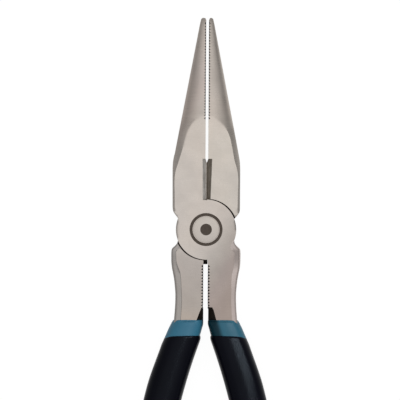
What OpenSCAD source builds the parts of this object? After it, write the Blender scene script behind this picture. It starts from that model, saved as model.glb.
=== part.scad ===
// Long-nose pliers with a side cutter, a riveted lap joint and two-layer grips.
// The origin is on the pivot axis, at the back face of the joint. +Z runs along the pivot
// towards the front face, and +Y runs towards the tips. The back lever has the right jaw and
// the left handle. The front lever is the same forging turned over.

/* [Overall] */
// Distance from the pivot axis to the tips
jaw_len = 77.4; // [72:0.2:84]
// Distance from the pivot axis to the ends of the grips
handle_len = 125.6; // [118:0.2:132]
// Thickness of the joint between its two ground faces
joint_t = 11; // [10.4:0.1:12]

/* [Joint] */
// Radius of the round boss on each lever
boss_r = 11; // [10.6:0.1:11]
// Smallest gap between a boss and the wall around it
boss_clear = 0.07; // [0.05:0.01:0.1]
// How much wider that gap gets along the visible seams
seam_growth = 0.3; // [0.1:0.02:0.4]
// Gap between the two levers' sliding faces
lap_clear = 0.06; // [0.04:0.01:0.1]
// Radius of the rivet's shank
rivet_r = 3.5; // [3:0.1:4]
// Radius of the rivet's countersunk heads
rivet_head_r = 4.7; // [4.4:0.1:5]
// Depth of each countersunk head
rivet_head_t = 1.4; // [1:0.1:2]
// Radial gap between the rivet and the front lever
rivet_clear = 0.03; // [0.02:0.01:0.08]

/* [Jaws] */
// Half the width of the closed head beside the cutter
head_half_w = 12.4; // [12:0.1:12.6]
// Where the straight taper of the nose starts
taper_y = 24.7; // [23:0.1:26]
// Half the width of the nose at the tips
tip_half_w = 2.35; // [2:0.05:3]
// Half the thickness of the nose at the tips
tip_half_t = 1.45; // [1.2:0.05:2]
// Distance from the centre line to each jaw's face at the tips
tip_gap = 0.3; // [0.28:0.01:0.4]
// Distance from the centre line to each jaw's face at the cutter
root_gap = 0.4; // [0.36:0.01:0.5]
// Where the jaw teeth start
teeth_y = 40; // [34:1:46]
// Pitch of the jaw teeth
tooth_pitch = 1.05; // [0.9:0.05:1.3]
// Depth of the teeth
tooth_depth = 0.35; // [0.2:0.05:0.5]

/* [Cutter] */
// Length of the cutter beyond the boss
cutter_len = 14.8; // [12:0.2:15]
// Width of the cutting bevel on the left jaw
left_bevel_w = 1.25; // [1:0.05:2]
// Width of the cutting bevel on the right jaw
right_bevel_w = 1.75; // [1:0.05:2]
// Depth of the cutting edges below the front face
edge_depth = 1.5; // [1.2:0.1:2]
// Width of each jaw's hollow behind its cutting edge
hollow_w = 1.6; // [1.2:0.1:2]

/* [Arms] */
// Half the width across the shoulders below the boss
shoulder_half_w = 12.7; // [12.4:0.1:13]
// Distance from the centre line to each arm's inner edge
slot_half_w = 0.67; // [0.6:0.01:0.8]
// Distance from the pivot axis to the top of the grips
grip_y = 33; // [32:0.5:35]
// Half the thickness of the arms where the grips start
arm_half_t = 4.7; // [4.4:0.1:5]
// Pitch of the teeth between the arms
arm_tooth_pitch = 1.1; // [1:0.05:1.3]

/* [Grips] */
// Length of the teal collar that shows above the black sleeve
collar_len = 5.9; // [5:0.1:8]
// Half the width of the black sleeve, square to the handle
sleeve_half_w = 6.75; // [6.5:0.05:7]
// Half the thickness of the black sleeve
sleeve_half_t = 6.2; // [6:0.1:6.6]
// Wall of the black sleeve
sleeve_wall = 0.65; // [0.5:0.05:0.9]
// Half the width of the steel tang inside each grip
tang_half_w = 4; // [3.4:0.1:4.2]
// Half the thickness of the tang
tang_half_t = 3.4; // [3:0.1:3.6]
// Angle of the handles to the centre line at the top of the grips
handle_angle = 21.7; // [20:0.1:23]
// Radius of the bow that turns each handle back in
handle_bow_r = 225; // [200:1:260]

/* [Hidden] */

$fn = 96;
mid = joint_t / 2;                   // height of the sliding faces
margin = 1;                          // how far a cut runs past what it cuts
far = 200;                           // longer than any part
seam_angle = 20;                     // direction in which the visible seams are widest
wall_r = boss_r + boss_clear;
cutter_y = boss_r - 0.5;
cutter_top = boss_r + cutter_len;
closing = 0.0035;                    // half the angle from rest to closed, in radians
steel = [0.76, 0.74, 0.72];
teal = [0.22, 0.42, 0.50];
black = [0.07, 0.07, 0.09];

// ---- curves ----
function bezier(p, t) =
    p[0] * pow(1 - t, 3) + p[1] * 3 * t * pow(1 - t, 2)
    + p[2] * 3 * t * t * (1 - t) + p[3] * pow(t, 3);
function arc(centre, r, from, to, steps) =
    [for (i = [0:steps]) let (a = from + (to - from) * i / steps) centre + r * [cos(a), sin(a)]];

// ---- plan outline of the right jaw ----
function face_x(y) = root_gap + (tip_gap - root_gap) * (y - cutter_top) / (jaw_len - cutter_top);
function edge_x(y) = 0.02 + closing * y;
tooth_count = floor((jaw_len - 1.2 - teeth_y) / tooth_pitch);
jaw_teeth = [for (i = [0:tooth_count - 1], side = [0, 1])
    let (y = teeth_y + (i + side / 2) * tooth_pitch) [face_x(y) + side * tooth_depth, y]];
tip_round = 0.8;
jaw_outline = concat(
    [[edge_x(0), 0], [edge_x(cutter_top), cutter_top - 1.4], [face_x(cutter_top), cutter_top]],
    jaw_teeth,
    [[face_x(jaw_len), jaw_len - 0.7], [tip_gap + 0.4, jaw_len]],
    arc([tip_half_w - tip_round, jaw_len - tip_round], tip_round, 90, 11, 5),
    arc([head_half_w - 8, taper_y - 0.8], 8, 10.8, 0, 4),
    arc([head_half_w - 1.2, 6.8], 1.2, 0, -50, 4),
    [[10.3, 3.9]]);

// ---- plan outline of the right arm ----
arm_edge = [[shoulder_half_w, -10], [shoulder_half_w, -15], [9.8, -23], [12, -grip_y]];
arm_teeth_y = -boss_r - 1.8;
arm_tooth_count = floor((grip_y - 4.6 + arm_teeth_y) / arm_tooth_pitch);
arm_teeth = [for (i = [arm_tooth_count - 1:-1:0], side = [1, 0])
    [slot_half_w + side * tooth_depth, arm_teeth_y - (i + side / 2) * arm_tooth_pitch]];
arm_outline = concat(
    [[slot_half_w, 0], [10, -5.2]],
    arc([shoulder_half_w - 1, -7.9], 1, 60, 0, 4),
    [for (i = [0:14]) bezier(arm_edge, i / 14)],
    [[0.9, -grip_y], [slot_half_w, -grip_y + 4]],
    arm_teeth);

// ---- the bowed line of the right handle ----
root = [6.2, -grip_y];
bow_centre = root - handle_bow_r * [cos(handle_angle), sin(handle_angle)];
end_angle = asin((sleeve_half_w - handle_len - bow_centre[1]) / handle_bow_r);

// ---- shared shapes ----
module turned_over() translate([0, 0, joint_t]) rotate([0, 180, 0]) children();

module rounded_box(half_w, half_h, r) {
    square([2 * (half_w - r), 2 * half_h], center = true);
    square([2 * half_w, 2 * (half_h - r)], center = true);
    for (x = [-1, 1], y = [-1, 1]) translate([x * (half_w - r), y * (half_h - r)]) circle(r = r);
}

// A bar along the right handle. It runs on past the top of the grip, and its other end is round
module handle_bar(half_w, half_t, r, short = 0) {
    first = handle_angle + 2;
    last = end_angle + (short + sleeve_half_w - half_w) * 180 / (PI * handle_bow_r);
    translate([bow_centre[0], bow_centre[1], mid]) rotate([0, 0, last]) {
        rotate_extrude(angle = first - last)
            translate([handle_bow_r, 0]) rounded_box(half_w, half_t, r);
        translate([handle_bow_r, 0, 0]) rotate([0, 0, 180]) rotate_extrude(angle = 180)
            intersection() {
                rounded_box(half_w, half_t, r);
                translate([0, -half_t]) square([half_w, 2 * half_t]);
            }
    }
}

// Everything below a line across the right handle
module below(y, tilt = 0)
    translate([root[0], -y, mid]) rotate([0, 0, tilt]) translate([-far / 2, -far, -far / 2]) cube(far);

// ---- levers ----
// Rounds the nose: an oval cone that grows out of the square head
module nose_envelope() translate([0, 0, mid]) {
    slope = 0.107;
    side = 15;
    scale([(tip_half_w + 0.05) / tip_half_t, 1, 1]) rotate([-90, 0, 0]) rotate_extrude()
        polygon([[0, side - 1], [9.09 + slope * (20.2 - side), side - 1], [7.46, 34.5], [mid, 41.5],
                 [tip_half_t, jaw_len], [tip_half_t, jaw_len + 0.1], [0, jaw_len + 0.1]]);
    translate([-far / 2, side - far, -far / 2]) cube(far);
}

// Thins the arms from the joint to the grips
module arm_envelope() {
    start = boss_r + 2;
    rotate([90, 0, 90]) linear_extrude(shoulder_half_w + margin)
        polygon([[margin, 0], [-start, 0], [-grip_y, mid - arm_half_t],
                 [-grip_y, mid + arm_half_t], [-start, joint_t], [margin, joint_t]]);
}

module jaw() intersection() {
    linear_extrude(joint_t) polygon(jaw_outline);
    nose_envelope();
}

module arm() intersection() {
    linear_extrude(joint_t) polygon(arm_outline);
    arm_envelope();
}

module tang() intersection() {
    handle_bar(tang_half_w, tang_half_t, 0.8, 4);
    below(grip_y - 0.5);
}

// Room for the other lever's boss. It ends below the sliding face, and this lever's boss fills it
module boss_recess() for (side = [0, 180])
    rotate([0, 0, seam_angle + side]) translate([seam_growth, 0, mid - 0.5])
        cylinder(r = wall_r, h = joint_t);

module rivet_shape(gap) {
    translate([0, 0, -gap]) cylinder(r = rivet_r + gap, h = joint_t + 2 * gap);
    cylinder(r1 = rivet_head_r + gap, r2 = rivet_r + gap, h = rivet_head_t);
    translate([0, 0, joint_t - rivet_head_t])
        cylinder(r1 = rivet_r + gap, r2 = rivet_head_r + gap, h = rivet_head_t);
}

// One forging, as it lies in the back lever
module lever_blank() {
    difference() {
        union() {
            jaw();
            mirror([1, 0, 0]) arm();
        }
        boss_recess();
    }
    cylinder(r = boss_r, h = mid - lap_clear / 2);
    mirror([1, 0, 0]) tang();
}

// A bevel on the front face and a hollow behind it leave the right jaw's cutting edge
module cutter_cut(bevel_w) {
    edge_z = joint_t - edge_depth;
    land = 0.1;
    x0 = edge_x(cutter_y + cutter_len / 2);
    translate([0, cutter_top, 0]) rotate([90, 0, 0]) linear_extrude(cutter_top - cutter_y) {
        polygon([[-margin, edge_z], [x0, edge_z], [x0 + bevel_w, joint_t], [x0 + bevel_w, joint_t + margin],
                 [-margin, joint_t + margin]]);
        polygon([[-margin, -margin], [hollow_w, -margin], [hollow_w, edge_z - land - hollow_w],
                 [x0, edge_z - land], [-margin, edge_z - land]]);
    }
}

// Closes the crotch of the arms just below the boss
module crotch_web() translate([-slot_half_w - 0.3, -boss_r - 1.7, 1.2])
    cube([slot_half_w + 0.72, 3, mid - 1.8]);

module back_lever() color(steel) difference() {
    union() {
        lever_blank();
        crotch_web();
    }
    cutter_cut(right_bevel_w);
    rivet_shape(0);
}

module front_lever() color(steel) difference() {
    turned_over() lever_blank();
    mirror([1, 0, 0]) cutter_cut(left_bevel_w);
    rivet_shape(rivet_clear);
}

module pivot_rivet() color(steel) rivet_shape(0);

// ---- grips, drawn on the right ----
module liner_bar() handle_bar(sleeve_half_w - sleeve_wall, sleeve_half_t - sleeve_wall, 4);

// Clears the other grip, and rounds the collar's outer corner
liner_outline = concat(
    [[0.9, -far], [0.9, -grip_y]],
    arc([11, -grip_y - 1], 1, 90, 25, 3),
    [[13.05, -grip_y - 2], [15, -grip_y - 6], [far / 2, -grip_y - 6], [far / 2, -far]]);

module liner() difference() {
    intersection() {
        liner_bar();
        translate([0, 0, -margin]) linear_extrude(joint_t + 2 * margin) polygon(liner_outline);
    }
    handle_bar(tang_half_w, tang_half_t, 0.8, 4);
}

module sleeve() difference() {
    intersection() {
        handle_bar(sleeve_half_w, sleeve_half_t, 4.6);
        below(grip_y + collar_len, -5);
    }
    liner_bar();
}

module right_grip_liner() color(teal) liner();
module right_grip_sleeve() color(black) sleeve();
module left_grip_liner() color(teal) mirror([1, 0, 0]) liner();
module left_grip_sleeve() color(black) mirror([1, 0, 0]) sleeve();

back_lever();
front_lever();
pivot_rivet();
left_grip_liner();
left_grip_sleeve();
right_grip_liner();
right_grip_sleeve();
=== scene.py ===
import math

import bmesh
import bpy
import numpy as np
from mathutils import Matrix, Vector
from mathutils.geometry import delaunay_2d_cdt

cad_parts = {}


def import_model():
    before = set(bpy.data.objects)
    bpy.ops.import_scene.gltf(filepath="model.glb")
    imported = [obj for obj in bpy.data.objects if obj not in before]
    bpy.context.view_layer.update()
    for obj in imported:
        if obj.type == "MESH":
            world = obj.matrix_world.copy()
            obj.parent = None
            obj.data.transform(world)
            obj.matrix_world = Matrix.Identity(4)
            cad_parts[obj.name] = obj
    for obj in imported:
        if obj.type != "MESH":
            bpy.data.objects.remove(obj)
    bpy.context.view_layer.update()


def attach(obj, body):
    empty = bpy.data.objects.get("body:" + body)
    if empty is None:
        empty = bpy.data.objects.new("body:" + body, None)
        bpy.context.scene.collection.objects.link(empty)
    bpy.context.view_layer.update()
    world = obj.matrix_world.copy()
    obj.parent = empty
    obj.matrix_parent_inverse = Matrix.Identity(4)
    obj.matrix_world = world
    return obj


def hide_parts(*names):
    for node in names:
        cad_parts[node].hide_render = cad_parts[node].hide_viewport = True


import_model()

# All lengths are millimetres until a mesh is made. The pivot is at x = y = 0, the back of the
# head is z = 0 and the jaws point along +y.
MM = 0.001
MID = 5.5                    # height of the sliding faces, half the joint's thickness
JAW_LEN = 77.4               # from the pivot to the tips
HEAD_W = 12.33               # half the head's width beside the cutter
ARCH_Y = 41.35               # apex of the ground flat
BOSS_R = 11.0
WALL_R = 11.03               # wall of the recess that the other lever's boss turns in
# the walls' centres lie beside the pivot, so the visible seams open towards one end
WALL_SHIFT = 0.45 * np.array([math.cos(math.radians(12)), math.sin(math.radians(12))])
GROOVE_Y = (10.75, 25.75)    # the side cutter's two ends
SLOT_TOP = -11.6             # upper end of the slot between the arms
BORE_R, SINK_R, SINK_DEPTH = 3.53, 4.73, 1.4
JAW_TEETH = {"first": 40, "pitch": 1.05}
ARM_TEETH = {"first": -12.8, "pitch": 1.1, "count": 14}

# the levers' material slots
STEEL, UNGROUND_AND_SHADE, CUTTER, ETCHED, MACHINED, EDGE = range(6)


# ---------------------------------------------------------------- plane curves
def arc(cx, cy, r, a0, a1, n):
    t = np.radians(np.linspace(a0, a1, n))
    return np.c_[cx + r * np.cos(t), cy + r * np.sin(t)]


def circle(r, n):
    return arc(0, 0, r, 0, 360, n + 1)[:-1]


def smooth_through(points, n):
    """Catmull-Rom curve through the points, n steps to a span."""
    p = np.array(points, float)
    p = np.vstack([2 * p[0] - p[1], p, 2 * p[-1] - p[-2]])
    out = []
    for i in range(1, len(p) - 2):
        t = np.linspace(0, 1, n, endpoint=False)[:, None]
        a, b, c, d = p[i - 1], p[i], p[i + 1], p[i + 2]
        out.append(0.5 * (2 * b + (c - a) * t + (2 * a - 5 * b + 4 * c - d) * t**2
                          + (3 * b - a - 3 * c + d) * t**3))
    out.append(p[-2][None])
    return np.vstack(out)


def curve_at(points, y):
    """Value of a smooth curve given as (y, value) pairs with y rising."""
    c = smooth_through(points, 10)
    return np.interp(y, c[:, 0], c[:, 1])


def inside(poly, pts):
    x, y = pts[:, 0], pts[:, 1]
    odd = np.zeros(len(pts), bool)
    for (x0, y0), (x1, y1) in zip(poly, np.roll(poly, -1, axis=0)):
        if y0 == y1:
            continue
        cross = (y0 > y) != (y1 > y)
        odd ^= cross & (x < (x1 - x0) * (y - y0) / (y1 - y0) + x0)
    return odd


def distance(line, pts):
    """Distance from each point to an open polyline."""
    best = np.full(len(pts), 1e9)
    for a, b in zip(line[:-1], line[1:]):
        d = b - a
        t = np.clip(((pts - a) @ d) / max(d @ d, 1e-12), 0, 1)
        best = np.minimum(best, np.hypot(*(pts - a - t[:, None] * d).T))
    return best


def step(a, b, x):
    t = np.clip((x - a) / (b - a), 0, 1)
    return t * t * (3 - 2 * t)


def dome(q):
    """Drop of a quarter round: 0 at q = 0, 1 at q = 1."""
    return 1 - np.sqrt(1 - np.clip(q, 0, 1) ** 2 * 0.998)


# ---------------------------------------------------------------- lever plan
# "back" is the lever with its jaw on the right of the front view, "front" the other one, which is
# the same kind of plan turned over. A plan has its jaw at +x and its arm at -x.

# the head's lower corner, where it runs in to the boss
FOOT = {"back": [(12.3, 8.0), (12.24, 6.9), (11.95, 6.0), (11.2, 5.0), (10.42, 4.0)],
        "front": [(12.25, 8.2), (12.1, 7.0), (11.75, 6.1), (11.1, 5.2), (10.3, 4.15)]}
ARM_EDGE = [(10.3, -4.2), (10.52, -5.05), (11.35, -6.1), (12.35, -7.05), (12.6, -8.2), (12.62, -10.0),
            (12.58, -12.0), (12.34, -14.1), (11.9, -16.3), (11.52, -18.5), (11.28, -20.7), (11.1, -22.9),
            (11.06, -25.1), (11.12, -27.3), (11.24, -29.5), (11.42, -31.7), (11.6, -34.2)]
ARM_IN = {"back": 0.92, "front": 0.72}       # from the middle line to the arm's inner face
FACE_X = {"back": 0.68, "front": 0.36}       # from the middle line to the jaw's face
# limits of the dark cut beside the slot, next to the grip
WEDGE = {"back": [(0.6, -28.0), (1.55, -28.5), (2.3, -30.3), (3.3, -33.0), (3.7, -34.2)],
         "front": [(0.3, -28.1), (2.45, -28.4), (2.95, -29.4), (3.75, -32.4), (4.2, -34.2)]}
# edge of the ground flat
ARCH = {"back": [(0.0, 41.35), (1.3, 41.15), (3.2, 40.3), (5.1, 38.9), (7.0, 36.8), (8.4, 34.0), (9.35, 30.0),
                 (10.2, 25.4), (11.25, 21.6), (11.62, 18.0), (11.5, 13.0), (11.45, 8.0)],
        "front": [(0.0, 41.35), (1.3, 41.1), (3.2, 40.2), (5.0, 38.7), (6.6, 36.3), (7.7, 33.2), (8.75, 29.3),
                  (10.05, 25.0), (11.2, 21.2), (11.6, 17.6), (11.5, 13.0), (11.45, 8.0)]}
# (y, value) pairs: the nose's half thickness, its superellipse exponent and its half width
CROWN = [(38.0, 6.15), (41.35, 5.5), (44.5, 4.96), (50.0, 4.28), (60.0, 3.22), (70.0, 2.2), (78.0, 1.4)]
SQUARE = [(7, 1.9), (28, 1.9), (34, 2.0), (38.9, 2.25), (42, 2.3), (48, 2.2), (55, 2.0), (78, 2.0)]
OVAL_W = [(7.0, 14.6), (14.0, 14.6), (19.2, 14.9), (25.4, 13.7), (34.5, 12.2), (38.9, 10.5), (41.35, 9.65),
          (44.0, 8.98), (48.0, 8.15), (60.0, 5.78), (78.0, 2.36)]
# width of the bevel along the arm's outer edge
STRIP_AT = [3.8, 5.2, 6.6, 9, 11.5, 16, 22, 34]
STRIP_W = {"back": [0.3, 1.1, 1.75, 1.75, 1.85, 2.65, 2.35, 2.5],
           "front": [0.3, 1.3, 2.2, 2.2, 2.2, 2.4, 1.8, 1.9]}
# (-y, depth) of that bevel
STRIP_DEPTH = {"back": ([4.2, 6, 9, 13, 34], [0.1, 0.5, 0.7, 0.8, 0.8]),
               "front": ([4.2, 6, 7.5, 11, 15, 34], [0.1, 0.9, 1.7, 1.6, 0.8, 0.75])}
CUT_W = {"back": (1.5, 2.0), "front": (1.2, 1.3)}   # width of the cutter's bevel at its two ends
CUT_DEPTH = 1.5
MARK = (4.92, 6.0)                           # radii of the etched ring
MARK_DEPTH = 0.03
TOOTH = {"jaw": 0.34, "arm": 0.38}           # depth of the teeth
NICK = {"jaw": 0.28, "arm": 0.448}           # further depth between the teeth at the two faces
GROOVE = 0.08                                # depth between the teeth midway


def half_width(y, side):
    flank = 2.2 + (0.191 if side == "back" else 0.1885) * (JAW_LEN - y)
    shoulder = np.interp(y, [21.5, 22.6, 24.8, 26.8], [HEAD_W, HEAD_W - 0.01, 12.18, 11.84])
    return np.where(y < 26.8, shoulder, np.minimum(flank, HEAD_W))


def face_x(y, side):
    return FACE_X[side] - 0.04 * (y - 25.8) / (JAW_LEN - 25.8)


def edge_x(y):
    return 0.02 + 0.0035 * y


def jaw_outer(side):
    tip = arc(2.3 - 0.95, JAW_LEN - 0.95, 0.95, 95, 11, 9)
    ys = np.arange(75.5, 26.9, -0.75)
    flank = np.c_[half_width(ys, side), ys]
    corner = smooth_through([(11.84, 26.8), (12.18, 24.8), (HEAD_W - 0.01, 22.6)], 4)
    straight = np.c_[np.linspace(HEAD_W, FOOT[side][0][0] + 0.01, 16), np.linspace(21.5, 9.2, 16)]
    return np.vstack([tip, flank, corner, straight, smooth_through(FOOT[side], 5)])


def jaw_outline(side):
    depth = TOOTH["jaw"]
    first, pitch = JAW_TEETH["first"], JAW_TEETH["pitch"]
    teeth = [(face_x(y, side) + depth * s, y + pitch / 2 * s)
             for y in np.arange(first, JAW_LEN - 1.9, pitch) for s in (0, 1)]
    inner = [(edge_x(0), 0), (edge_x(11), 11), (edge_x(24.2), 24.2), (face_x(25.8, side), 25.8),
             (face_x(33, side), 33), *teeth, (face_x(76.4, side), 76.4),
             (face_x(76.4, side) + 0.35, JAW_LEN - 0.1)]
    return np.vstack([inner, jaw_outer(side)])


def arm_outer():
    return smooth_through(ARM_EDGE, 6)


def arm_outline(side):
    x0 = ARM_IN[side]
    first, pitch = ARM_TEETH["first"], ARM_TEETH["pitch"]
    teeth = [(x0 + TOOTH["arm"] * s, first - i * pitch - pitch / 2 * s)
             for i in range(ARM_TEETH["count"]) for s in (0, 1)]
    foot = 0.95 if side == "front" else 0.85
    inner = np.array([(x0, 0), (x0, SLOT_TOP), *teeth, (x0, -28.6), (foot, -29.2), (foot, -34.2)])[::-1]
    return np.vstack([[(8.5, -1.5)], arm_outer(), inner]) * [-1, 1]


def arm_bevel(side, y):
    return np.interp(-y, STRIP_AT, STRIP_W[side])


class Lever:
    """One lever: a plan triangulation between two height fields."""

    def __init__(self, side):
        self.side = side
        self.jaw = jaw_outline(side)
        self.arm = arm_outline(side)
        self.arch = smooth_through(ARCH[side], 8)
        self.foot = smooth_through(FOOT[side], 5)
        self.edge = arm_outer() * [-1, 1]
        self.points, self.edges = [], []

    # -- heights, measured from the mid plane
    def flat_width(self, y):
        a = self.arch[::-1]
        return np.where(y > ARCH_Y, 0.0, np.interp(y, a[:, 1], a[:, 0]))

    def nose(self, x, y):
        a = np.maximum(curve_at(OVAL_W, y), half_width(y, self.side) * 1.004)
        xb = self.flat_width(y)
        p = np.interp(y, *np.array(SQUARE).T)
        r = np.where(y < ARCH_Y, MID / (1 - (xb / a) ** p) ** (1 / p), curve_at(CROWN, y))
        h = r * np.maximum(1 - np.clip(x / a, 0, 1) ** p, 0.012) ** (1 / p)
        tip = step(JAW_LEN - 1.6, JAW_LEN + 0.1, y)
        return np.maximum(np.minimum(h, MID) * (1 - 0.4 * tip), 0.35)

    def arm_height(self, pts):
        x, y = pts.T
        h = MID - 0.95 * step(-9, -38, y)
        q = np.clip(1 - distance(self.edge, pts) / arm_bevel(self.side, y), 0, 1)
        deep = np.interp(-y, *STRIP_DEPTH[self.side])
        if self.side == "back":
            # a small lip sets off the left arm's strip
            drop = 0.15 * step(0, 0.07, q) + deep * q * 0.62
        else:
            drop = deep * 0.65 * q
        return h - (drop + 0.6 * dome((q - 0.68) / 0.32) * deep)

    def heights(self, v):
        x, y = v.T
        r = np.hypot(x, y)
        h = np.full(len(v), MID)
        jaw = (y > 0) & (x > -0.01) & (r > BOSS_R - 0.4)
        arm = (y < 0) & (x < 0.01) & (r > BOSS_R - 0.4)
        foot = 0.55 * dome(1 - distance(self.foot, v) / 0.8) * (y < 9.5) * step(11.25, 12.0, r)
        h = np.where(jaw, np.minimum(h, np.minimum(self.nose(x, y), MID - foot)), h)
        return np.where(arm, np.minimum(h, self.arm_height(v)), h)

    def wedge_depth(self, v):
        """How far a point lies inside the dark cut, measured across."""
        w = np.array(WEDGE[self.side])
        limit = np.interp(-v[:, 1], -w[:, 1], w[:, 0], left=0.0)
        inner = np.maximum(limit - (-v[:, 0]), 0) * (v[:, 1] < w[0, 1])
        return inner * (v[:, 0] < 0)

    # -- plan points
    def line(self, pts, closed=False):
        start, n = len(self.points), len(pts)
        self.points.extend(map(tuple, pts))
        self.edges.extend((start + i, start + (i + 1) % n) for i in range(n if closed else n - 1))

    def lay_out(self):
        side, line = self.side, self.line
        line(self.jaw, True)
        line(self.arm, True)
        for inset, n in ((0, 220), (0.05, 220), (0.12, 220), (0.25, 160), (0.42, 160), (0.65, 120),
                         (0.9, 120), (1.2, 120)):
            line(circle(BOSS_R - inset, n), True)
        for r, n in ((BORE_R, 72), (SINK_R, 120), (4.8, 120)):
            line(circle(r, n), True)
        if side == "front":
            for r in (MARK[0], MARK[0] + 0.02, MARK[1] - 0.02, MARK[1]):
                line(circle(r, 120), True)
        for extra in (0, 0.1):
            line(arc(*WALL_SHIFT, WALL_R + extra, 12, 98, 60))
            line(arc(*-WALL_SHIFT, WALL_R + extra, 190, 276, 60))
        line(self.arch[self.arch[:, 0] > 0.45])
        ys = np.arange(8.2, 76.6, 0.65)
        hw, xb = half_width(ys, side), self.flat_width(ys)
        for q in (0.14, 0.28, 0.42, 0.56, 0.69, 0.8, 0.89, 0.95, 0.985):
            xs = xb + q * (hw - xb)
            keep = xs > 1.2
            self.points.extend(zip(xs[keep], ys[keep]))
        t = np.gradient(self.edge, axis=0)
        n = np.c_[-t[:, 1], t[:, 0]] / np.hypot(*t.T)[:, None]
        n *= np.sign(n[:, :1])
        w = arm_bevel(side, self.edge[:, 1])[:, None]
        for q in (1.0, 0.93, 0.8, 0.65, 0.5, 0.36, 0.24, 0.14, 0.06):
            row = self.edge + n * w * q
            row = row[np.hypot(*row.T) > BOSS_R + 0.45]
            if q > 0.9:
                line(row)
            else:
                self.points.extend(map(tuple, row))
        self.points.extend(map(tuple, (self.foot + [-0.25, 0.2])[3:-6]))
        y0, y1 = GROOVE_Y
        gy = np.linspace(y0, y1, 12)
        line(np.c_[edge_x(gy) + self.bevel_width(gy), gy])
        for dy in (0, 0.06):
            line([(0.0, y1 + dy), (self.bevel_width(y1) + 0.1, y1 + dy)])
            if side == "front":
                line([(0.0, y0 - dy), (self.bevel_width(y0) + 0.1, y0 - dy)])
        line(np.array(WEDGE[side]) * [-1, 1])
        gx, gyy = np.meshgrid(np.arange(-13.2, 13.3, 0.8), np.arange(-34, 77, 0.7))
        gx = gx + 0.4 * (np.arange(gx.shape[0]) % 2)[:, None]
        grid = np.c_[gx.ravel(), gyy.ravel()]
        have = np.array(self.points)
        near = np.full(len(grid), 1e9)
        for i in range(0, len(have), 200):
            near = np.minimum(near, np.linalg.norm(grid[:, None] - have[None, i:i + 200], axis=2).min(1))
        grid = grid[near > 0.4]
        keep = inside(self.jaw, grid) | inside(self.arm, grid) | (np.hypot(*grid.T) < BOSS_R)
        self.points.extend(map(tuple, grid[keep]))

    def bevel_width(self, y):
        """Width of the cutter's bevel."""
        return np.interp(y, GROOVE_Y, CUT_W[self.side])

    # -- the mesh
    def surfaces(self, v):
        """Heights of the upper face of the full and the boss part, and of the lower face."""
        side = self.side
        x, y = v.T
        r = np.hypot(x, y)
        groove = (x > -0.01) & (y >= GROOVE_Y[0] - 1e-4) & (y <= GROOVE_Y[1] + 1e-4)
        bevel = np.where(groove, np.clip(1 - (x - edge_x(y)) / self.bevel_width(y), 0, 1) * CUT_DEPTH, 0)
        hollow = np.where(groove, np.interp(x, [0.0, 0.25, 1.5, 2.0, 2.05], [9.35, 9.2, 7.9, 1.5, 0]), 0)
        wedge = np.minimum(self.wedge_depth(v) * 1.5, 3.6)
        h = self.heights(v)
        front, back = h - bevel - wedge, h - hollow - wedge

        # the boss's own face: a countersink, and a soft edge where nothing is beside it
        angle = np.degrees(np.arctan2(y, x))
        right, left = np.abs(angle - 0.5), np.abs(np.abs(angle) - 179.5)
        free = np.maximum(step(-1, 4, 19 - right), step(-1, 4, 19 - left))
        free = np.where(angle > 100, free * step(0, 5, angle - 158), free)
        rim_w = 0.1 + 1.1 * free
        rim = (0.09 + 0.42 * free) * dome((r - (BOSS_R - rim_w)) / rim_w) * (r < BOSS_R + 1e-3)
        beside_own = ((angle > 23) & (angle < 92)) | ((angle < -157) | (angle > 178.5)) & (y < -3.9) | \
                     ((angle < -88) & (y < 0))
        rim = np.where(beside_own, 0, rim)
        sink = np.interp(r, [BORE_R, SINK_R, SINK_R + 0.01], [SINK_DEPTH, 0, 0])

        # the recess's own rim on the face where the other boss shows
        wall = np.where(y > 0, np.hypot(*(v - WALL_SHIFT).T), np.hypot(*(v + WALL_SHIFT).T)) - WALL_R
        lip = np.where((r > BOSS_R) & (wall < 0.1), 0.09 * (1 - np.maximum(wall, 0) / 0.1), 0)

        if side == "back":
            low = MID - back + sink + rim
            return {"full": MID + front - lip, "disc": np.full(len(v), MID - 0.03)}, low
        mark = np.where((r > MARK[0] + 0.01) & (r < MARK[1] - 0.01), MARK_DEPTH, 0)
        low = MID + front - sink - rim - mark
        return {"full": MID - back + lip, "disc": np.full(len(v), MID + 0.03)}, low

    def gullets(self, v):
        """1 at the bottoms of the jaw's teeth, -1 at those of the arm's."""
        x, y = v.T
        tooth = np.zeros(len(v))
        at_jaw = np.abs(x - face_x(y, self.side) - TOOTH["jaw"] + 0.02) < 0.05
        at_arm = np.abs(x + ARM_IN[self.side] + TOOTH["arm"] - 0.02) < 0.05
        tooth[(y > 39) & (y < 76) & at_jaw] = 1
        tooth[(y < -12.5) & (y > -28.5) & at_arm] = -1
        return tooth

    def build(self):
        side = self.side
        sign = 1 if side == "back" else -1
        self.lay_out()
        vs, _, faces, *_ = delaunay_2d_cdt([Vector(p) for p in self.points], self.edges, [], 0, 1e-4, False)
        v = np.array([tuple(p) for p in vs])
        f = np.array([t for t in faces if len(t) == 3])
        c = v[f].mean(1)
        in_jaw, in_arm = inside(self.jaw, c), inside(self.arm, c)
        full = (in_jaw & (np.hypot(*(c - WALL_SHIFT).T) > WALL_R)) | \
               (in_arm & (np.hypot(*(c + WALL_SHIFT).T) > WALL_R))
        rc = np.hypot(*c.T)
        keep = (full | (rc < BOSS_R) | in_jaw | in_arm) & (rc > BORE_R)
        f, full, c, rc, in_arm = f[keep], full[keep], c[keep], rc[keep], in_arm[keep]

        top, low = self.surfaces(v)
        x, y = v.T
        tooth = self.gullets(v)
        depth = np.where(y > 0, TOOTH["jaw"], TOOTH["arm"])
        nick = np.where(y > 0, NICK["jaw"], NICK["arm"])
        cut = (np.abs(x - edge_x(y)) < 1e-3) & (y > GROOVE_Y[0] - 1e-3) & (y < 24.5)
        verts, index = [], {}

        def vid(kind, i):
            key = (kind, i)
            if key not in index:
                px, py = v[i]
                if kind in top:
                    z = top[kind][i]
                elif kind == "low":
                    z = low[i]
                else:
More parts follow.
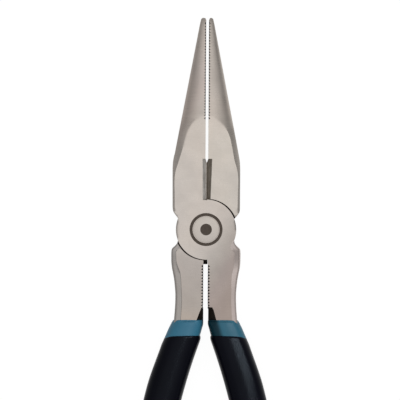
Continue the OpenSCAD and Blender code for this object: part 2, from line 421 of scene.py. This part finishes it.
                    # a ring part of the way down a wall
                    frac = 0.88 if kind == "near_top" else 0.12
                    z = low[i] + (top["full"][i] - low[i]) * frac
                # the nicks are deep at the two faces and shallow between them
                px += tooth[i] * (nick[i] if kind in ("full", "low") else GROOVE - depth[i])
                if cut[i] and (kind in top) == (side == "front"):
                    # the two edges lean the same way, so no light falls straight between them
                    px += 0.3 * sign
                index[key] = len(verts)
                verts.append((px * sign, py, z))
            return index[key]

        quads, tags = [], []

        def face(ids, tag):
            quads.append(ids)
            tags.append(tag)

        def band(kind_a, kind_b, i, j, tag):
            """One face of a wall, between two heights."""
            face([vid(kind_a, j), vid(kind_a, i), vid(kind_b, i), vid(kind_b, j)], tag)

        wedge = self.wedge_depth(c) > 0
        groove = (c[:, 0] > 0) & (c[:, 1] > GROOVE_Y[0]) & (c[:, 1] < GROOVE_Y[1]) & \
                 (c[:, 0] - edge_x(c[:, 1]) < self.bevel_width(c[:, 1]))
        mark = (rc > MARK[0]) & (rc < MARK[1]) & (side == "front")
        strip = in_arm & (c[:, 1] < -4) & (distance(self.edge, c) < arm_bevel(side, c[:, 1]) * 0.97)
        uses = {}
        for k, tri in enumerate(f):
            kind = "full" if full[k] else "disc"
            # the dark cut beside the slot and, at the back, the hollow behind the cutter take the dark steel:
            # unground steel with painted shade
            front_tag = UNGROUND_AND_SHADE if wedge[k] else CUTTER if groove[k] else \
                ETCHED if mark[k] else EDGE if strip[k] else STEEL
            back_tag = UNGROUND_AND_SHADE if wedge[k] or groove[k] else EDGE if strip[k] else STEEL
            if kind == "disc":
                # outside the boss the sliding face lies in the seam and takes the dark steel as painted shade
                top_tag = UNGROUND_AND_SHADE if rc[k] > BOSS_R else MACHINED
                low_tag = STEEL if side == "back" else front_tag
            else:
                top_tag, low_tag = (front_tag, back_tag) if side == "back" else (back_tag, front_tag)
            face([vid(kind, i) for i in tri], top_tag)
            face([vid("low", i) for i in tri][::-1], low_tag)
            for i, j in zip(tri, np.roll(tri, -1)):
                uses.setdefault((min(i, j), max(i, j)), []).append((i, j, kind))
        for use in uses.values():
            i, j, kind = use[0]
            if len(use) == 1 and kind == "disc":
                band("disc", "low", i, j, STEEL)
            elif len(use) == 1:
                # the teeth's walls take the dark steel near the two faces, as painted shade in the gullets,
                # and the machined steel between
                toothed = tooth[i] or tooth[j]
                tag = UNGROUND_AND_SHADE if self.wedge_depth((v[i] + v[j])[None] / 2)[0] > 0 else STEEL
                band("full", "near_top", i, j, UNGROUND_AND_SHADE if toothed else tag)
                band("near_top", "near_low", i, j, MACHINED if toothed else tag)
                band("near_low", "low", i, j, UNGROUND_AND_SHADE if toothed else tag)
            elif kind != use[1][2]:
                i, j, _ = next(u for u in use if u[2] == "full")
                # the recess's walls take the dark steel as painted shade
                band("full", "disc", i, j, UNGROUND_AND_SHADE)
        return np.array(verts), quads, tags


# ---------------------------------------------------------------- grips
ROOT = np.array([6.2, -33.0])    # where the grip's centre line starts
LEAN = math.radians(21.7)        # its lean there
BOW_R = 225.0                    # radius of its bow
GRIP_END = -125.6
BOW_C = ROOT - BOW_R * np.array([math.cos(LEAN), math.sin(LEAN)])


def rail(points, offset, stop):
    """An edge of a grip: the given points, then the bow at an offset, as evenly parted points."""
    pts = [np.array(p) for p in points]
    a0 = math.atan2(*(pts[-1] - BOW_C)[::-1])
    join = np.linalg.norm(pts[-1] - BOW_C) - BOW_R - offset
    for t in np.linspace(0, 1, 90)[1:]:
        a = a0 + (stop - a0) * t
        fade = 1 - float(step(0, 16, abs(a0 - a) * BOW_R))
        d = np.array([math.cos(a), math.sin(a)])
        pts.append(BOW_C + (BOW_R + offset + join * fade) * d)
    return np.array(pts)


def bar(half_w, half_t, power, inner, outer, lift, stop_short=0.0, across=40):
    """A lofted bar: rungs from the inner to the outer rail, then a round end.

    inner and outer list the first points of the rails, lift the thickness share at each, power
    is the superellipse exponent of the section.
    """
    stop = math.asin((half_w + stop_short + GRIP_END - BOW_C[1]) / BOW_R)
    a, b = rail(inner, -half_w, stop), rail(outer, half_w, stop)
    rungs = [(p, q, lift[k] if k < len(lift) else 1.0, 0.0) for k, (p, q) in enumerate(zip(a, b))]
    d = np.array([math.cos(stop), math.sin(stop)])
    centre, along = BOW_C + BOW_R * d, np.array([math.sin(stop), -math.cos(stop)])
    for e in np.sin(np.linspace(0, math.pi / 2, 15))[1:-1]:
        c = math.sqrt(1 - e * e)
        q = centre + along * half_w * e
        rungs.append((q - d * half_w * c, q + d * half_w * c, 1.0, e))
    phi = np.linspace(-math.pi / 2, math.pi / 2, across + 1)
    verts, faces = [], []
    n = 2 * across
    for p, q, share, e in rungs:
        s = np.sin(phi)
        rho = np.minimum(np.hypot(s * math.sqrt(1 - e * e), e), 1)
        z = share * half_t * (1 - rho**power) ** (1 / power)
        xy = p + (q - p) * ((1 + s) / 2)[:, None]
        verts.extend(map(tuple, np.c_[xy, MID + z]))
        verts.extend(map(tuple, np.c_[xy, MID - z][1:-1][::-1]))
    for k in range(len(rungs) - 1):
        for i in range(n):
            j = (i + 1) % n
            faces.append([k * n + i, k * n + j, (k + 1) * n + j, (k + 1) * n + i])
    verts.append((*(centre + along * half_w), MID))
    last = (len(rungs) - 1) * n
    faces.extend([last + i, last + (i + 1) % n, len(verts) - 1] for i in range(n))
    faces.append(list(range(n))[::-1])
    return np.array(verts), faces


def collar_rails():
    """The teal collar from its square top down to the sleeve."""
    inner = smooth_through([(1.3, -33.0), (0.98, -33.15), (0.82, -33.7), (0.9, -34.9), (1.3, -36.3),
                            (1.85, -38.3), (2.4, -40.0)], 3)
    outer = smooth_through([(11.2, -33.0), (11.75, -33.2), (12.25, -33.85), (12.85, -35.0), (13.5, -36.3),
                            (14.35, -38.3), (15.1, -40.0)], 3)
    return inner, outer, [0.86, 0.92, 0.96, 0.985]


def hollow_side(v, name):
    """Pares down the collar's inner side, where the arm's dark cut runs on, and gives that side its painted
    shade.
    """
    x, y, z = v.T
    top, low, slope = (4.3, 3.9, 0.75) if name == "right" else (2.1, 2.3, 0.4)
    limit = np.interp(-y, [33, 39.5], [top, low])
    into = np.maximum(limit - x, 0) * (y > -42)
    cap = 5.55 - 0.55 * (y > -33.6) - into * slope
    z = MID + np.clip(z - MID, -cap, cap)
    # the painted shade: on the right collar it reaches further out than the paring, on the left it is weaker
    limit = np.interp(-y, [33, 39.5], [4.9, 6.9]) if name == "right" else limit
    shade = step(-0.3, 1.5, limit - x) * (y > -42) * (1.0 if name == "right" else 0.75)
    return np.c_[x, y, z], shade


def sleeve_rails():
    """The black sleeve from its rounded upper rim on."""
    inner = smooth_through([(2.5, -38.65), (2.05, -38.75), (1.78, -39.2), (1.8, -40.1), (2.15, -41.3)], 3)
    outer = smooth_through([(13.7, -38.9), (14.4, -39.1), (14.95, -39.65), (15.4, -40.6), (16.1, -42.2)], 3)
    return inner, outer, [0.885, 0.93, 0.962, 0.98, 0.99, 0.996]


# ---------------------------------------------------------------- meshes
def mesh_object(name, verts, faces, tags, materials, crease=28, shade=None):
    mesh = bpy.data.meshes.new(name)
    mesh.from_pydata([tuple(p) for p in np.array(verts) * MM], [], [tuple(map(int, q)) for q in faces])
    for m in materials:
        mesh.materials.append(m)
    if tags is not None:
        mesh.polygons.foreach_set("material_index", tags)
    if shade is not None:
        values = mesh.attributes.new("shade", "FLOAT", "POINT").data
        values.foreach_set("value", np.asarray(shade, np.float32))
    mesh.validate()
    bm = bmesh.new()
    bm.from_mesh(mesh)
    bmesh.ops.dissolve_degenerate(bm, edges=bm.edges, dist=1e-7)
    bmesh.ops.recalc_face_normals(bm, faces=bm.faces)
    bm.to_mesh(mesh)
    bm.free()
    mesh.shade_smooth()
    mesh.set_sharp_from_angle(angle=math.radians(crease))
    o = bpy.data.objects.new(name, mesh)
    bpy.context.scene.collection.objects.link(o)
    return o


def place(o, body, node):
    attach(o, body)
    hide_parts(node)


def turned(profile, n=96):
    """Faces of a solid of revolution about z from (radius, z) pairs that start and end on the axis."""
    verts, faces = [(0, 0, profile[0][1])], []
    rings = profile[1:-1]
    for r, z in rings:
        for k in range(n):
            a = 2 * math.pi * k / n
            verts.append((r * math.cos(a), r * math.sin(a), z))
    verts.append((0, 0, profile[-1][1]))
    for k in range(n):
        faces.append([0, 1 + k, 1 + (k + 1) % n])
    for i in range(len(rings) - 1):
        for k in range(n):
            a, b = 1 + i * n + k, 1 + i * n + (k + 1) % n
            faces.append([a, a + n, b + n, b])
    base = 1 + (len(rings) - 1) * n
    for k in range(n):
        faces.append([base + k, len(verts) - 1, base + (k + 1) % n])
    return verts, faces


# ---------------------------------------------------------------- materials
class Shader:
    """Small helper around a material's node tree."""

    def __init__(self, name, metallic, specular=0.5):
        self.material = bpy.data.materials.new(name)
        self.material.use_nodes = True
        self.tree = self.material.node_tree
        self.out = self.tree.nodes["Principled BSDF"]
        self.out.inputs["Metallic"].default_value = metallic
        self.out.inputs["Specular IOR Level"].default_value = specular
        self.coord = self.tree.nodes.new("ShaderNodeTexCoord").outputs["Object"]

    def link(self, a, b):
        self.tree.links.new(a, b)

    def scaled(self, scale):
        m = self.tree.nodes.new("ShaderNodeMapping")
        m.inputs["Scale"].default_value = scale
        self.link(self.coord, m.inputs["Vector"])
        return m.outputs[0]

    def noise(self, scale, detail=4, rough=0.5):
        n = self.tree.nodes.new("ShaderNodeTexNoise")
        n.inputs["Scale"].default_value = 1.0
        n.inputs["Detail"].default_value = detail
        n.inputs["Roughness"].default_value = rough
        self.link(self.scaled(scale), n.inputs["Vector"])
        return n.outputs["Fac"]

    def ramp(self, value, stops):
        r = self.tree.nodes.new("ShaderNodeValToRGB")
        e = r.color_ramp.elements
        while len(e) < len(stops):
            e.new(0.5)
        for k, (pos, col) in enumerate(stops):
            e[k].position = pos
            e[k].color = (*col, 1) if isinstance(col, tuple) else (col, col, col, 1)
        self.link(value, r.inputs[0])
        return r.outputs[0]

    def mix(self, kind, factor, a, b):
        m = self.tree.nodes.new("ShaderNodeMix")
        m.data_type = "RGBA"
        m.blend_type = kind
        m.inputs[0].default_value = factor
        self.link(a, m.inputs[6])
        self.link(b, m.inputs[7])
        return m.outputs[2]

    def along_y(self, y0, y1, turn=0.0):
        s = self.tree.nodes.new("ShaderNodeSeparateXYZ")
        m = self.tree.nodes.new("ShaderNodeMapping")
        m.inputs["Rotation"].default_value = (0, 0, math.radians(turn))
        self.link(self.coord, m.inputs["Vector"])
        self.link(m.outputs[0], s.inputs[0])
        r = self.tree.nodes.new("ShaderNodeMapRange")
        r.inputs["From Min"].default_value = y0
        r.inputs["From Max"].default_value = y1
        self.link(s.outputs["Y"], r.inputs["Value"])
        return r.outputs[0]

    def bump(self, height, strength, depth, after=None):
        b = self.tree.nodes.new("ShaderNodeBump")
        b.inputs["Strength"].default_value = strength
        b.inputs["Distance"].default_value = depth
        self.link(height, b.inputs["Height"])
        if after is not None:
            self.link(after, b.inputs["Normal"])
        return b.outputs[0]

    def finish(self, color, rough, normal):
        self.link(color, self.out.inputs["Base Color"])
        self.link(rough, self.out.inputs["Roughness"])
        self.link(normal, self.out.inputs["Normal"])
        return self.material


def satin_steel(name, along, turn=0.0):
    """Ground tool steel; along is the tint down the lever, on an axis turned by some degrees, and on the
    levers that tint holds painted shade.
    """
    s = Shader(name, 1.0)
    cloud = s.ramp(s.noise((70, 45, 70), 3), [(0.3, (0.93, 0.935, 0.945)), (0.7, (1.0, 0.985, 0.97))])
    stain = s.ramp(s.noise((180, 120, 180), 5, 0.6), [(0.35, 0.95), (0.65, 1.0)])
    tint_and_shade = s.ramp(s.along_y(-0.036, 0.078, turn), along)
    color = s.mix("MULTIPLY", 1.0, s.mix("MULTIPLY", 1.0, tint_and_shade, cloud), stain)
    grain = s.noise((4200, 4200, 4200), 2)
    brush = s.noise((260, 5200, 260), 3, 0.6)
    scratch = s.noise((2200, 50, 2200), 3, 0.75)
    rough = s.ramp(s.mix("MIX", 0.4, s.mix("MIX", 0.5, grain, brush), s.noise((160, 160, 160), 3)),
                   [(0.34, 0.22), (0.66, 0.43)])
    color = s.mix("MULTIPLY", 1.0, color, s.ramp(brush, [(0.3, 0.93), (0.5, 1.0), (0.72, 1.03)]))
    color = s.mix("MULTIPLY", 1.0, color, s.ramp(scratch, [(0.2, 0.9), (0.34, 1.0), (0.8, 1.0)]))
    n = s.bump(brush, 0.3, 0.00004)
    n = s.bump(grain, 0.25, 0.00004, n)
    n = s.bump(scratch, 0.15, 0.00004, n)
    return s.finish(color, rough, n)


def dark_steel(name, low, high, rough):
    """Dark steel: unground steel that also carries painted shade, and etched steel."""
    s = Shader(name, 0.35, specular=0.3)
    color = s.ramp(s.noise((420, 300, 420), 5, 0.65), [(0.3, low), (0.7, high)])
    pits = s.noise((2600, 2600, 2600), 3)
    r = s.ramp(pits, [(0.3, rough - 0.08), (0.7, rough + 0.1)])
    return s.finish(color, r, s.bump(pits, 0.35, 0.00006))


def cut_steel(name, metallic, low, high):
    """The cutter's bevel: coarse lines left by the grinding wheel run along the edge."""
    s = Shader(name, metallic)
    lines = s.noise((3800, 120, 3800), 4, 0.65)
    patch = s.noise((900, 500, 900), 3)
    color = s.ramp(s.mix("MIX", 0.2, lines, patch), [(0.34, low), (0.66, high)])
    rough = s.ramp(lines, [(0.3, 0.34), (0.7, 0.52)])
    return s.finish(color, rough, s.bump(lines, 0.3, 0.00005))


def plastic(name, low, high, rough, specular, texture, deep=None):
    """Moulded plastic; deep is the colour of its painted shade, used where the mesh's shade value is 1."""
    s = Shader(name, 0.0, specular=specular)
    patch = s.noise((90, 60, 90), 4, 0.6)
    color = s.ramp(patch, [(0.3, low), (0.7, high)])
    if deep:
        shade = s.tree.nodes.new("ShaderNodeAttribute")
        shade.attribute_name = "shade"
        m = s.tree.nodes.new("ShaderNodeMix")
        m.data_type = "RGBA"
        s.link(shade.outputs["Fac"], m.inputs[0])
        s.link(color, m.inputs[6])
        s.link(s.ramp(patch, [(0.3, deep), (0.7, tuple(1.5 * c for c in deep))]), m.inputs[7])
        color = m.outputs[2]
    fine = s.noise((texture, texture, texture), 3, 0.6)
    wide = s.noise((350, 250, 350), 3)
    r = s.ramp(s.mix("MIX", 0.5, fine, wide), [(0.3, rough - 0.06), (0.7, rough + 0.08)])
    return s.finish(color, r, s.bump(fine, 0.35, 0.00006))


# steel colour and painted shade of the flat faces by position on the turned axis: 0.32 is the pivot, lower
# values lie towards the grips
BACK_PAINTED_SHADE = [(0.0, (0.54, 0.455, 0.385)), (0.07, (0.475, 0.425, 0.385)), (0.2, (0.505, 0.455, 0.42)),
             (0.25, (0.56, 0.51, 0.47)), (0.36, (0.64, 0.59, 0.535)), (0.6, (0.655, 0.605, 0.55)),
             (0.7, (0.66, 0.59, 0.53)), (1.0, (0.66, 0.60, 0.54))]
FRONT_PAINTED_SHADE = [(0.0, (0.44, 0.365, 0.315)), (0.155, (0.40, 0.335, 0.305)), (0.195, (0.42, 0.36, 0.335)),
              (0.23, (0.465, 0.42, 0.385)), (0.256, (0.53, 0.485, 0.445)), (0.285, (0.61, 0.555, 0.51)),
              (0.32, (0.65, 0.59, 0.54)), (0.515, (0.64, 0.585, 0.535)), (0.557, (0.66, 0.575, 0.525)),
              (0.67, (0.67, 0.60, 0.54))]
# the arms' edge bevels: the left copy is painted darker as painted shade, the right copy lighter as painted
# light
LEFT_EDGE_PAINTED_SHADE = [(0.0, (0.46, 0.43, 0.405)), (1.0, (0.46, 0.43, 0.405))]
RIGHT_EDGE_PAINTED_LIGHT = [(0.0, (0.64, 0.55, 0.52)), (1.0, (0.6, 0.56, 0.53))]
# each lever gets its own copy of the steel, with painted shade that differs between the two
steel = {"back": satin_steel("steel_back_lever_painted_shade", BACK_PAINTED_SHADE),
         "front": satin_steel("steel_front_lever_painted_shade", FRONT_PAINTED_SHADE, -60)}
# unground steel, darkened further as painted shade in the dark cut, the recesses and seams, the teeth's
# walls, the hollow behind the cutter and the web at the slot's top
unground_and_shade = dark_steel("steel_unground_and_painted_shade", (0.016, 0.012, 0.009), (0.035, 0.027, 0.021), 0.6)
etched = dark_steel("steel_etched", (0.085, 0.065, 0.05), (0.12, 0.095, 0.078), 0.5)
machined = satin_steel("steel_machined", [(0.0, (0.36, 0.33, 0.3)), (1.0, (0.38, 0.35, 0.32))])
edge_steel = {"back": satin_steel("steel_edge_left_painted_shade", LEFT_EDGE_PAINTED_SHADE),
              "front": satin_steel("steel_edge_right_painted_light", RIGHT_EDGE_PAINTED_LIGHT)}
# the cutter's two bevels are lit and shaded copies: the right one painted dark as painted shade, the left one
# painted near white and without metal as painted light
cutter = {"back": cut_steel("cutter_right_painted_shade", 0.9, (0.16, 0.138, 0.112), (0.4, 0.352, 0.3)),
          "front": cut_steel("cutter_left_painted_light", 0.0, (0.24, 0.22, 0.195), (0.95, 0.91, 0.86))}
# the collars are one plastic in two copies: the right one is painted darker than the left, as painted shade
TEAL = {"left": ((0.027, 0.128, 0.2), (0.035, 0.156, 0.238)),
        "right": ((0.015, 0.094, 0.142), (0.02, 0.112, 0.166))}
TEAL_PAINTED_SHADE = (0.0006, 0.018, 0.028)
teal = {name: plastic("teal_side_shaded_" + name, *tones, 0.42, 0.25, 2600, TEAL_PAINTED_SHADE) for name, tones in TEAL.items()}
black = plastic("grip_black", (0.0026, 0.0026, 0.0046), (0.0036, 0.0036, 0.0066), 0.2, 0.075, 3200)
black.node_tree.nodes["Principled BSDF"].inputs["Specular Tint"].default_value = (0.8, 0.9, 1.0, 1.0)


# ---------------------------------------------------------------- pieces
def box_faces(x0, x1, y0, y1, z0, z1, b):
    """A block with its edges bevelled by b."""
    bm = bmesh.new()
    bmesh.ops.create_cube(bm, size=1)
    for w in bm.verts:
        w.co = ((x0 + x1) / 2 + w.co.x * (x1 - x0), (y0 + y1) / 2 + w.co.y * (y1 - y0),
                (z0 + z1) / 2 + w.co.z * (z1 - z0))
    bmesh.ops.bevel(bm, geom=bm.edges, offset=b, segments=2, affect="EDGES")
    verts = [tuple(w.co) for w in bm.verts]
    faces = [[w.index for w in q.verts] for q in bm.faces]
    bm.free()
    return verts, faces


def join(parts):
    """One mesh from several; a part's tags are a list or one tag for all its faces."""
    verts, faces, tags = [], [], []
    for v, f, t in parts:
        n = len(verts)
        verts.extend(map(tuple, v))
        faces.extend([[i + n for i in q] for q in f])
        tags.extend(t if isinstance(t, list) else [t] * len(f))
    return verts, faces, tags


for side in ("back", "front"):
    parts = [Lever(side).build()]
    hand = -1 if side == "back" else 1
    # the tang inside the grip
    inner, outer = [(3.4, -32.2), (3.0, -33.4)], [(10.2, -32.2), (10.6, -33.8)]
    tv, tf = bar(4.0, 3.4, 5.0, inner, outer, [], 4.0, across=16)
    tv[:, 0] *= hand
    parts.append((tv, tf, STEEL))
    if side == "back":
        # the dark block at the top of the slot, a web whose darkness is painted shade
        parts.append((*box_faces(-1.05, 0.6, -12.75, -9.6, 1.2, 4.9, 0.12), UNGROUND_AND_SHADE))
    piece = mesh_object(side + "_lever_forging", *join(parts),
                        [steel[side], unground_and_shade, cutter[side], etched, machined, edge_steel[side]])
    place(piece, side + "_half", side + "_lever")

rivet_profile = [(0, 0.0), (1.6, 0.0), (4.55, 0.0), (4.66, 0.03), (4.7, 0.08), (3.5, 1.4), (3.5, 9.6),
                 (4.7, 10.92), (4.66, 10.97), (4.55, 11.0), (2.12, 11.0), (2.1, 10.97), (1.0, 10.97),
                 (0, 10.97)]
rivet = mesh_object("rivet", *turned(rivet_profile), None, [steel["back"], etched])
for poly in rivet.data.polygons:
    # the etched dot on the front
    c = poly.center / MM
    if c.z > 10.96 and math.hypot(c.x, c.y) < 2.12:
        poly.material_index = 1
place(rivet, "back_half", "pivot_rivet")

grips = []
for hand, body, name in ((-1, "back_half", "left"), (1, "front_half", "right")):
    v, f = bar(6.1, 5.55, 2.6, *collar_rails(), 0.65)
    v, shade = hollow_side(v, name)
    v[:, 0] *= hand
    grips.append(mesh_object(name + "_liner", v, f, None, [teal[name]], 40, shade))
    place(grips[-1], body, name + "_grip_liner")
    v, f = bar(6.75, 6.2, 2.35, *sleeve_rails())
    v[:, 0] *= hand
    grips.append(mesh_object(name + "_sleeve", v, f, None, [black], 40))
    place(grips[-1], body, name + "_grip_sleeve")


# ---------------------------------------------------------------- camera, floor, light
def camera():
    """A long lens straight above; the frame is 0.1464 m wide where the pliers lie."""
    cam = bpy.data.cameras.new("camera")
    o = bpy.data.objects.new("camera", cam)
    bpy.context.scene.collection.objects.link(o)
    dist = 1.1
    cam.sensor_width = 36
    cam.lens = 36 * dist / 0.1464
    cam.clip_start, cam.clip_end = 0.05, 50
    o.location = (-0.00227, 0.01075, dist + 0.0055)
    o.rotation_euler = (0, 0, math.radians(0.32))
    bpy.context.scene.camera = o


def floor():
    """A pale disc that glows, so that it stays plain and still takes a soft shadow."""
    mesh = bpy.data.meshes.new("floor")
    ring = [(2.5 * math.cos(a), 2.5 * math.sin(a), -0.00075) for a in np.linspace(0, 2 * math.pi, 65)[:-1]]
    mesh.from_pydata(ring, [], [tuple(range(64))])
    o = bpy.data.objects.new("floor", mesh)
    bpy.context.scene.collection.objects.link(o)
    m = bpy.data.materials.new("floor_pale")
    m.use_nodes = True
    b = m.node_tree.nodes["Principled BSDF"]
    b.inputs["Base Color"].default_value = (0.12, 0.12, 0.12, 1)
    b.inputs["Roughness"].default_value = 1.0
    b.inputs["Specular IOR Level"].default_value = 0
    b.inputs["Emission Color"].default_value = (1, 1, 1, 1)
    b.inputs["Emission Strength"].default_value = 0.95
    mesh.materials.append(m)
    o.visible_glossy = False


# brightness that reflections see, by the height of their direction, on the two sides
LEFT_SKY = [(-1.0, 0.65), (-0.34, 0.56), (0.0, 0.46), (0.36, 0.34), (0.79, 0.56), (0.95, 0.98), (1.0, 1.03)]
RIGHT_SKY = [(-1.0, 0.85), (-0.34, 0.8), (0.0, 0.47), (0.36, 0.235), (0.79, 0.68), (0.95, 1.0), (1.0, 1.03)]


def world():
    """Plain and pale for the camera, shaded for reflections."""
    w = bpy.data.worlds.new("studio")
    bpy.context.scene.world = w
    w.use_nodes = True
    nodes, links = w.node_tree.nodes, w.node_tree.links
    nodes.clear()
    new = nodes.new
    coord, xyz, path = new("ShaderNodeTexCoord"), new("ShaderNodeSeparateXYZ"), new("ShaderNodeLightPath")
    glow, plain = new("ShaderNodeBackground"), new("ShaderNodeBackground")
    mix, out = new("ShaderNodeMixShader"), new("ShaderNodeOutputWorld")
    sides = new("ShaderNodeMix")
    sides.data_type = "RGBA"
    links.new(coord.outputs["Generated"], xyz.inputs[0])
    up, across = new("ShaderNodeMapRange"), new("ShaderNodeMapRange")
    up.inputs["From Min"].default_value = -1
    across.inputs["From Min"].default_value = -0.35
    across.inputs["From Max"].default_value = 0.35
    links.new(xyz.outputs["Z"], up.inputs["Value"])
    links.new(xyz.outputs["X"], across.inputs["Value"])
    links.new(across.outputs[0], sides.inputs[0])
    for sky, slot in ((LEFT_SKY, 6), (RIGHT_SKY, 7)):
        ramp = new("ShaderNodeValToRGB")
        e = ramp.color_ramp.elements
        while len(e) < len(sky):
            e.new(0.5)
        for k, (z, val) in enumerate(sky):
            e[k].position = (z + 1) / 2
            e[k].color = (val, val, val, 1)
        links.new(up.outputs[0], ramp.inputs[0])
        links.new(ramp.outputs[0], sides.inputs[slot])
    links.new(sides.outputs[2], glow.inputs["Color"])
    plain.inputs["Color"].default_value = (0.98, 0.98, 0.98, 1)
    links.new(path.outputs["Is Camera Ray"], mix.inputs[0])
    links.new(glow.outputs[0], mix.inputs[1])
    links.new(plain.outputs[0], mix.inputs[2])
    links.new(mix.outputs[0], out.inputs["Surface"])


def sheen_light():
    """A long soft strip beside the camera that only the grips pick up."""
    data = bpy.data.lights.new("sheen", "AREA")
    data.shape = "RECTANGLE"
    data.size, data.size_y = 0.04, 0.6
    data.color = (0.88, 0.95, 1.0)
    data.energy = 2.1
    o = bpy.data.objects.new("sheen", data)
    bpy.context.scene.collection.objects.link(o)
    o.location = (0.33, 0.06, 0.57)
    o.rotation_euler = (Vector((0, -0.06, 0)) - o.location).to_track_quat("-Z", "Y").to_euler()
    lit = bpy.data.collections.new("sheen_on")
    for g in grips:
        lit.objects.link(g)
    o.light_linking.receiver_collection = lit


camera()
floor()
world()
sheen_light()
bpy.context.scene.view_settings.view_transform = "Standard"
